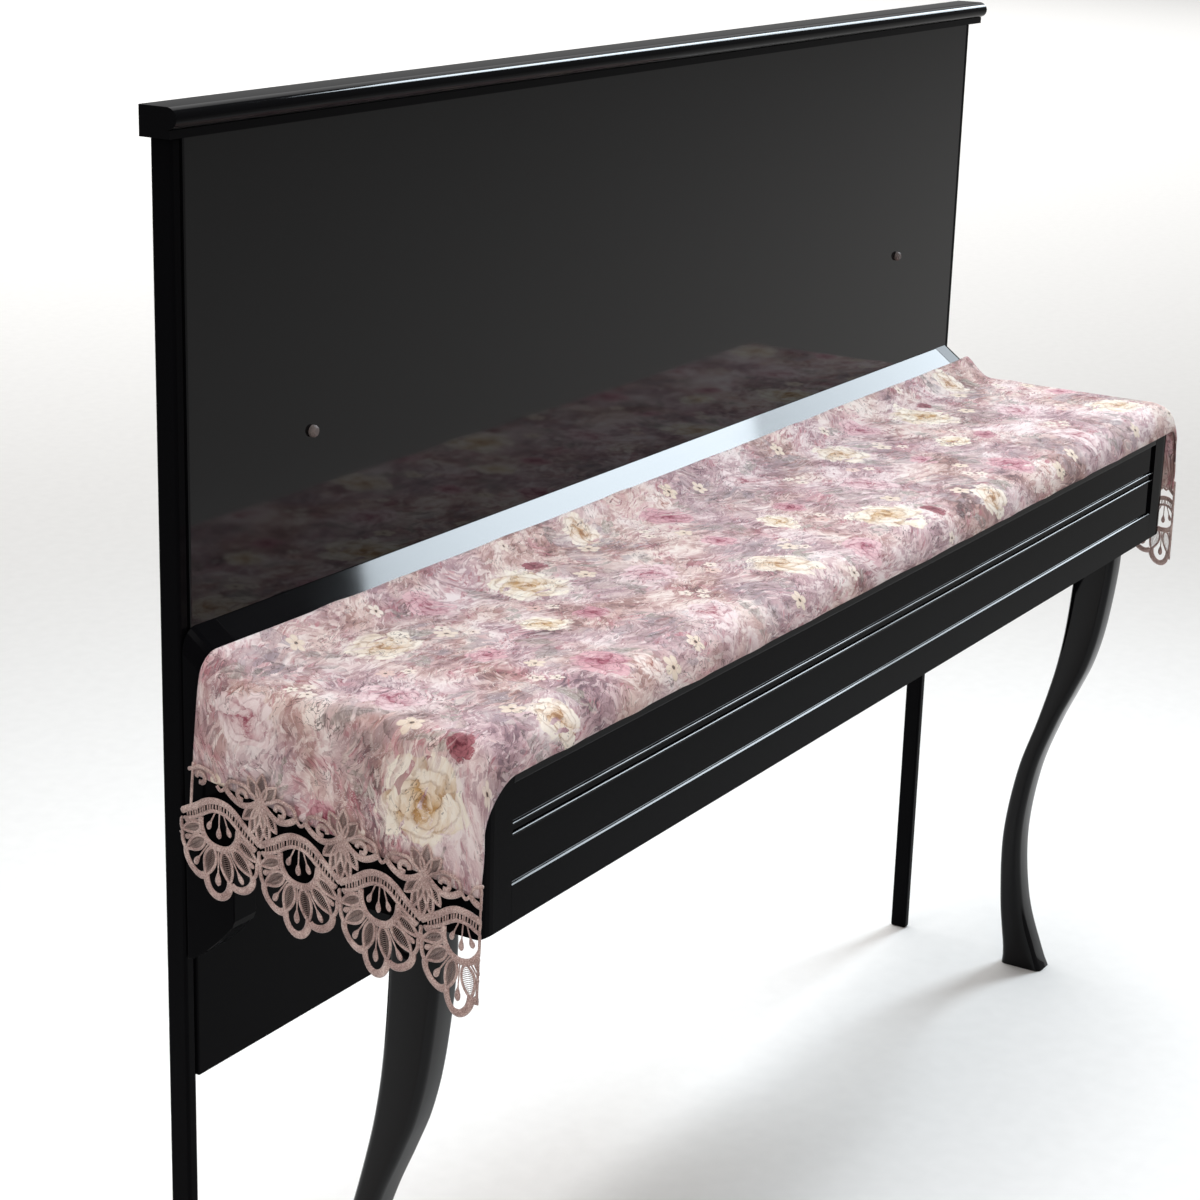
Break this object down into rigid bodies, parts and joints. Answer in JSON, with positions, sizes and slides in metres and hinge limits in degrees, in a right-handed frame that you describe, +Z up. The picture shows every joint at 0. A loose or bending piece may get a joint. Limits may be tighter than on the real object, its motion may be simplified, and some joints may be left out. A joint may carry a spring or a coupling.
{
  "type": "piano keyboard cover on an upright piano",
  "caption": "Floral printed runner with scalloped lace ends, draped over the closed key lid of a plain black upright piano that stands on curved legs.",
  "frame": {"origin": "on the floor, under the middle of the part's box", "axes": "+X along the keyboard to the player's right, +Y to the back, +Z up"},
  "size_m": [1.5479, 0.3343, 1.2353],
  "materials": {
    "printed_cloth": "soft printed cloth, mauve ground with cream, rose and grey-green flowers",
    "lace": "satin-stitched guipure lace in dusty taupe",
    "black_lacquer": "black gloss lacquer",
    "black_rubber": "matt black rubber"
  },
  "bodies": {
    "root": {"cover_cloth": "printed_cloth", "lace_left": "lace", "lace_right": "lace", "key_lid": "black_lacquer", "key_bed": "black_lacquer", "arm_left": "black_lacquer", "arm_right": "black_lacquer", "leg_left": "black_lacquer", "leg_right": "black_lacquer", "bracket_left": "black_lacquer", "bracket_right": "black_lacquer", "back_board": "black_lacquer", "upper_panel": "black_lacquer", "post_left": "black_lacquer", "post_right": "black_lacquer", "top_board": "black_lacquer", "buffer_left": "black_rubber", "buffer_right": "black_rubber"}
  },
  "joints": []
}
